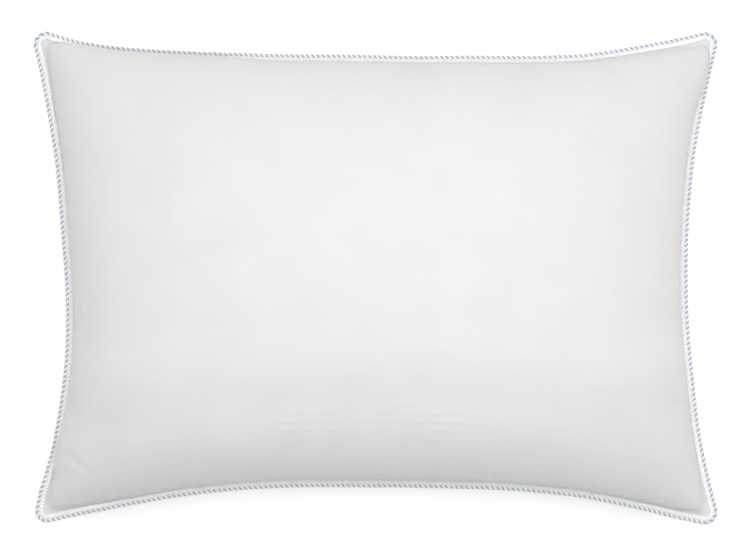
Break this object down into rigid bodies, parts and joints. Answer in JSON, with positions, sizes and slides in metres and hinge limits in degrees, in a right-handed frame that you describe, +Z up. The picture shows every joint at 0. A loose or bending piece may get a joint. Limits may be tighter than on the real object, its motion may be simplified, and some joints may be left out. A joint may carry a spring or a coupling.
{
  "type": "bed pillow",
  "caption": "Plump rectangular bed pillow in plain white cotton, with a folded tape and a twisted cord sewn round its edge.",
  "frame": {"origin": "centre of the length and width, on the surface that the pillow lies on", "axes": "+X along the length, +Y across the width, +Z up through the thickness to the front panel"},
  "size_m": [0.7018, 0.5048, 0.175],
  "materials": {
    "percale_front": "fine plain-weave cotton, matt with a faint sheen",
    "percale_back": "fine plain-weave cotton, matt with a faint sheen",
    "fill": "loose clusters of down or fine fibre",
    "tape": "narrow woven cotton tape",
    "cord": "twisted from two pale blue and two white plies of soft yarn",
    "overedge": "spun sewing thread in slanting stitches",
    "thread": "spun sewing thread"
  },
  "bodies": {
    "root": {"front_panel": "percale_front", "back_panel": "percale_back", "fill": "fill", "binding_tape": "tape", "piping_cord": "cord", "overedge_thread": "overedge", "seam_thread": "thread", "closing_thread": "thread"}
  },
  "joints": []
}
